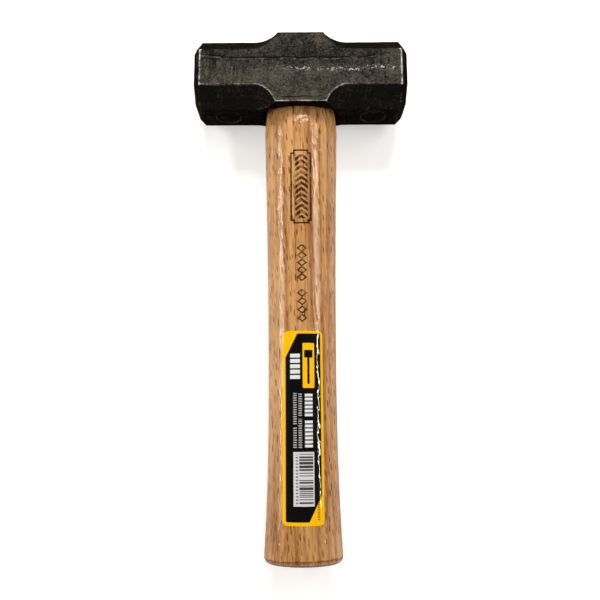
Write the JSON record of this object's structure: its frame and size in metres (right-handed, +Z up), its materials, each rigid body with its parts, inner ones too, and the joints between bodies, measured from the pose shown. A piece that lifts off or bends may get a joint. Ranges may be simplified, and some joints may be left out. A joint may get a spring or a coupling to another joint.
{
  "type": "lump hammer",
  "caption": "Short-handled lump hammer: a double-faced steel head with octagonal ends and a square middle, wedged onto an oval lacquered wooden handle with a label.",
  "frame": {"origin": "on the surface the hammer lies on, under the middle of its bounding box, with one cheek of the head down", "axes": "+X along the head from striking face to striking face; +Y along the handle towards the head; +Z up, from the lower cheek to the upper cheek, which is the labelled side"},
  "size_m": [0.1124, 0.269, 0.0389],
  "materials": {
    "forged_steel": "matte",
    "lacquered_wood": "satin",
    "wedge_wood": "matte",
    "wedge_steel": "satin",
    "label_film": "gloss"
  },
  "bodies": {
    "root": {"head": "forged_steel", "handle": "lacquered_wood", "wooden_wedge": "wedge_wood", "steel_wedge_1": "wedge_steel", "steel_wedge_2": "wedge_steel", "label": "label_film"}
  },
  "joints": []
}
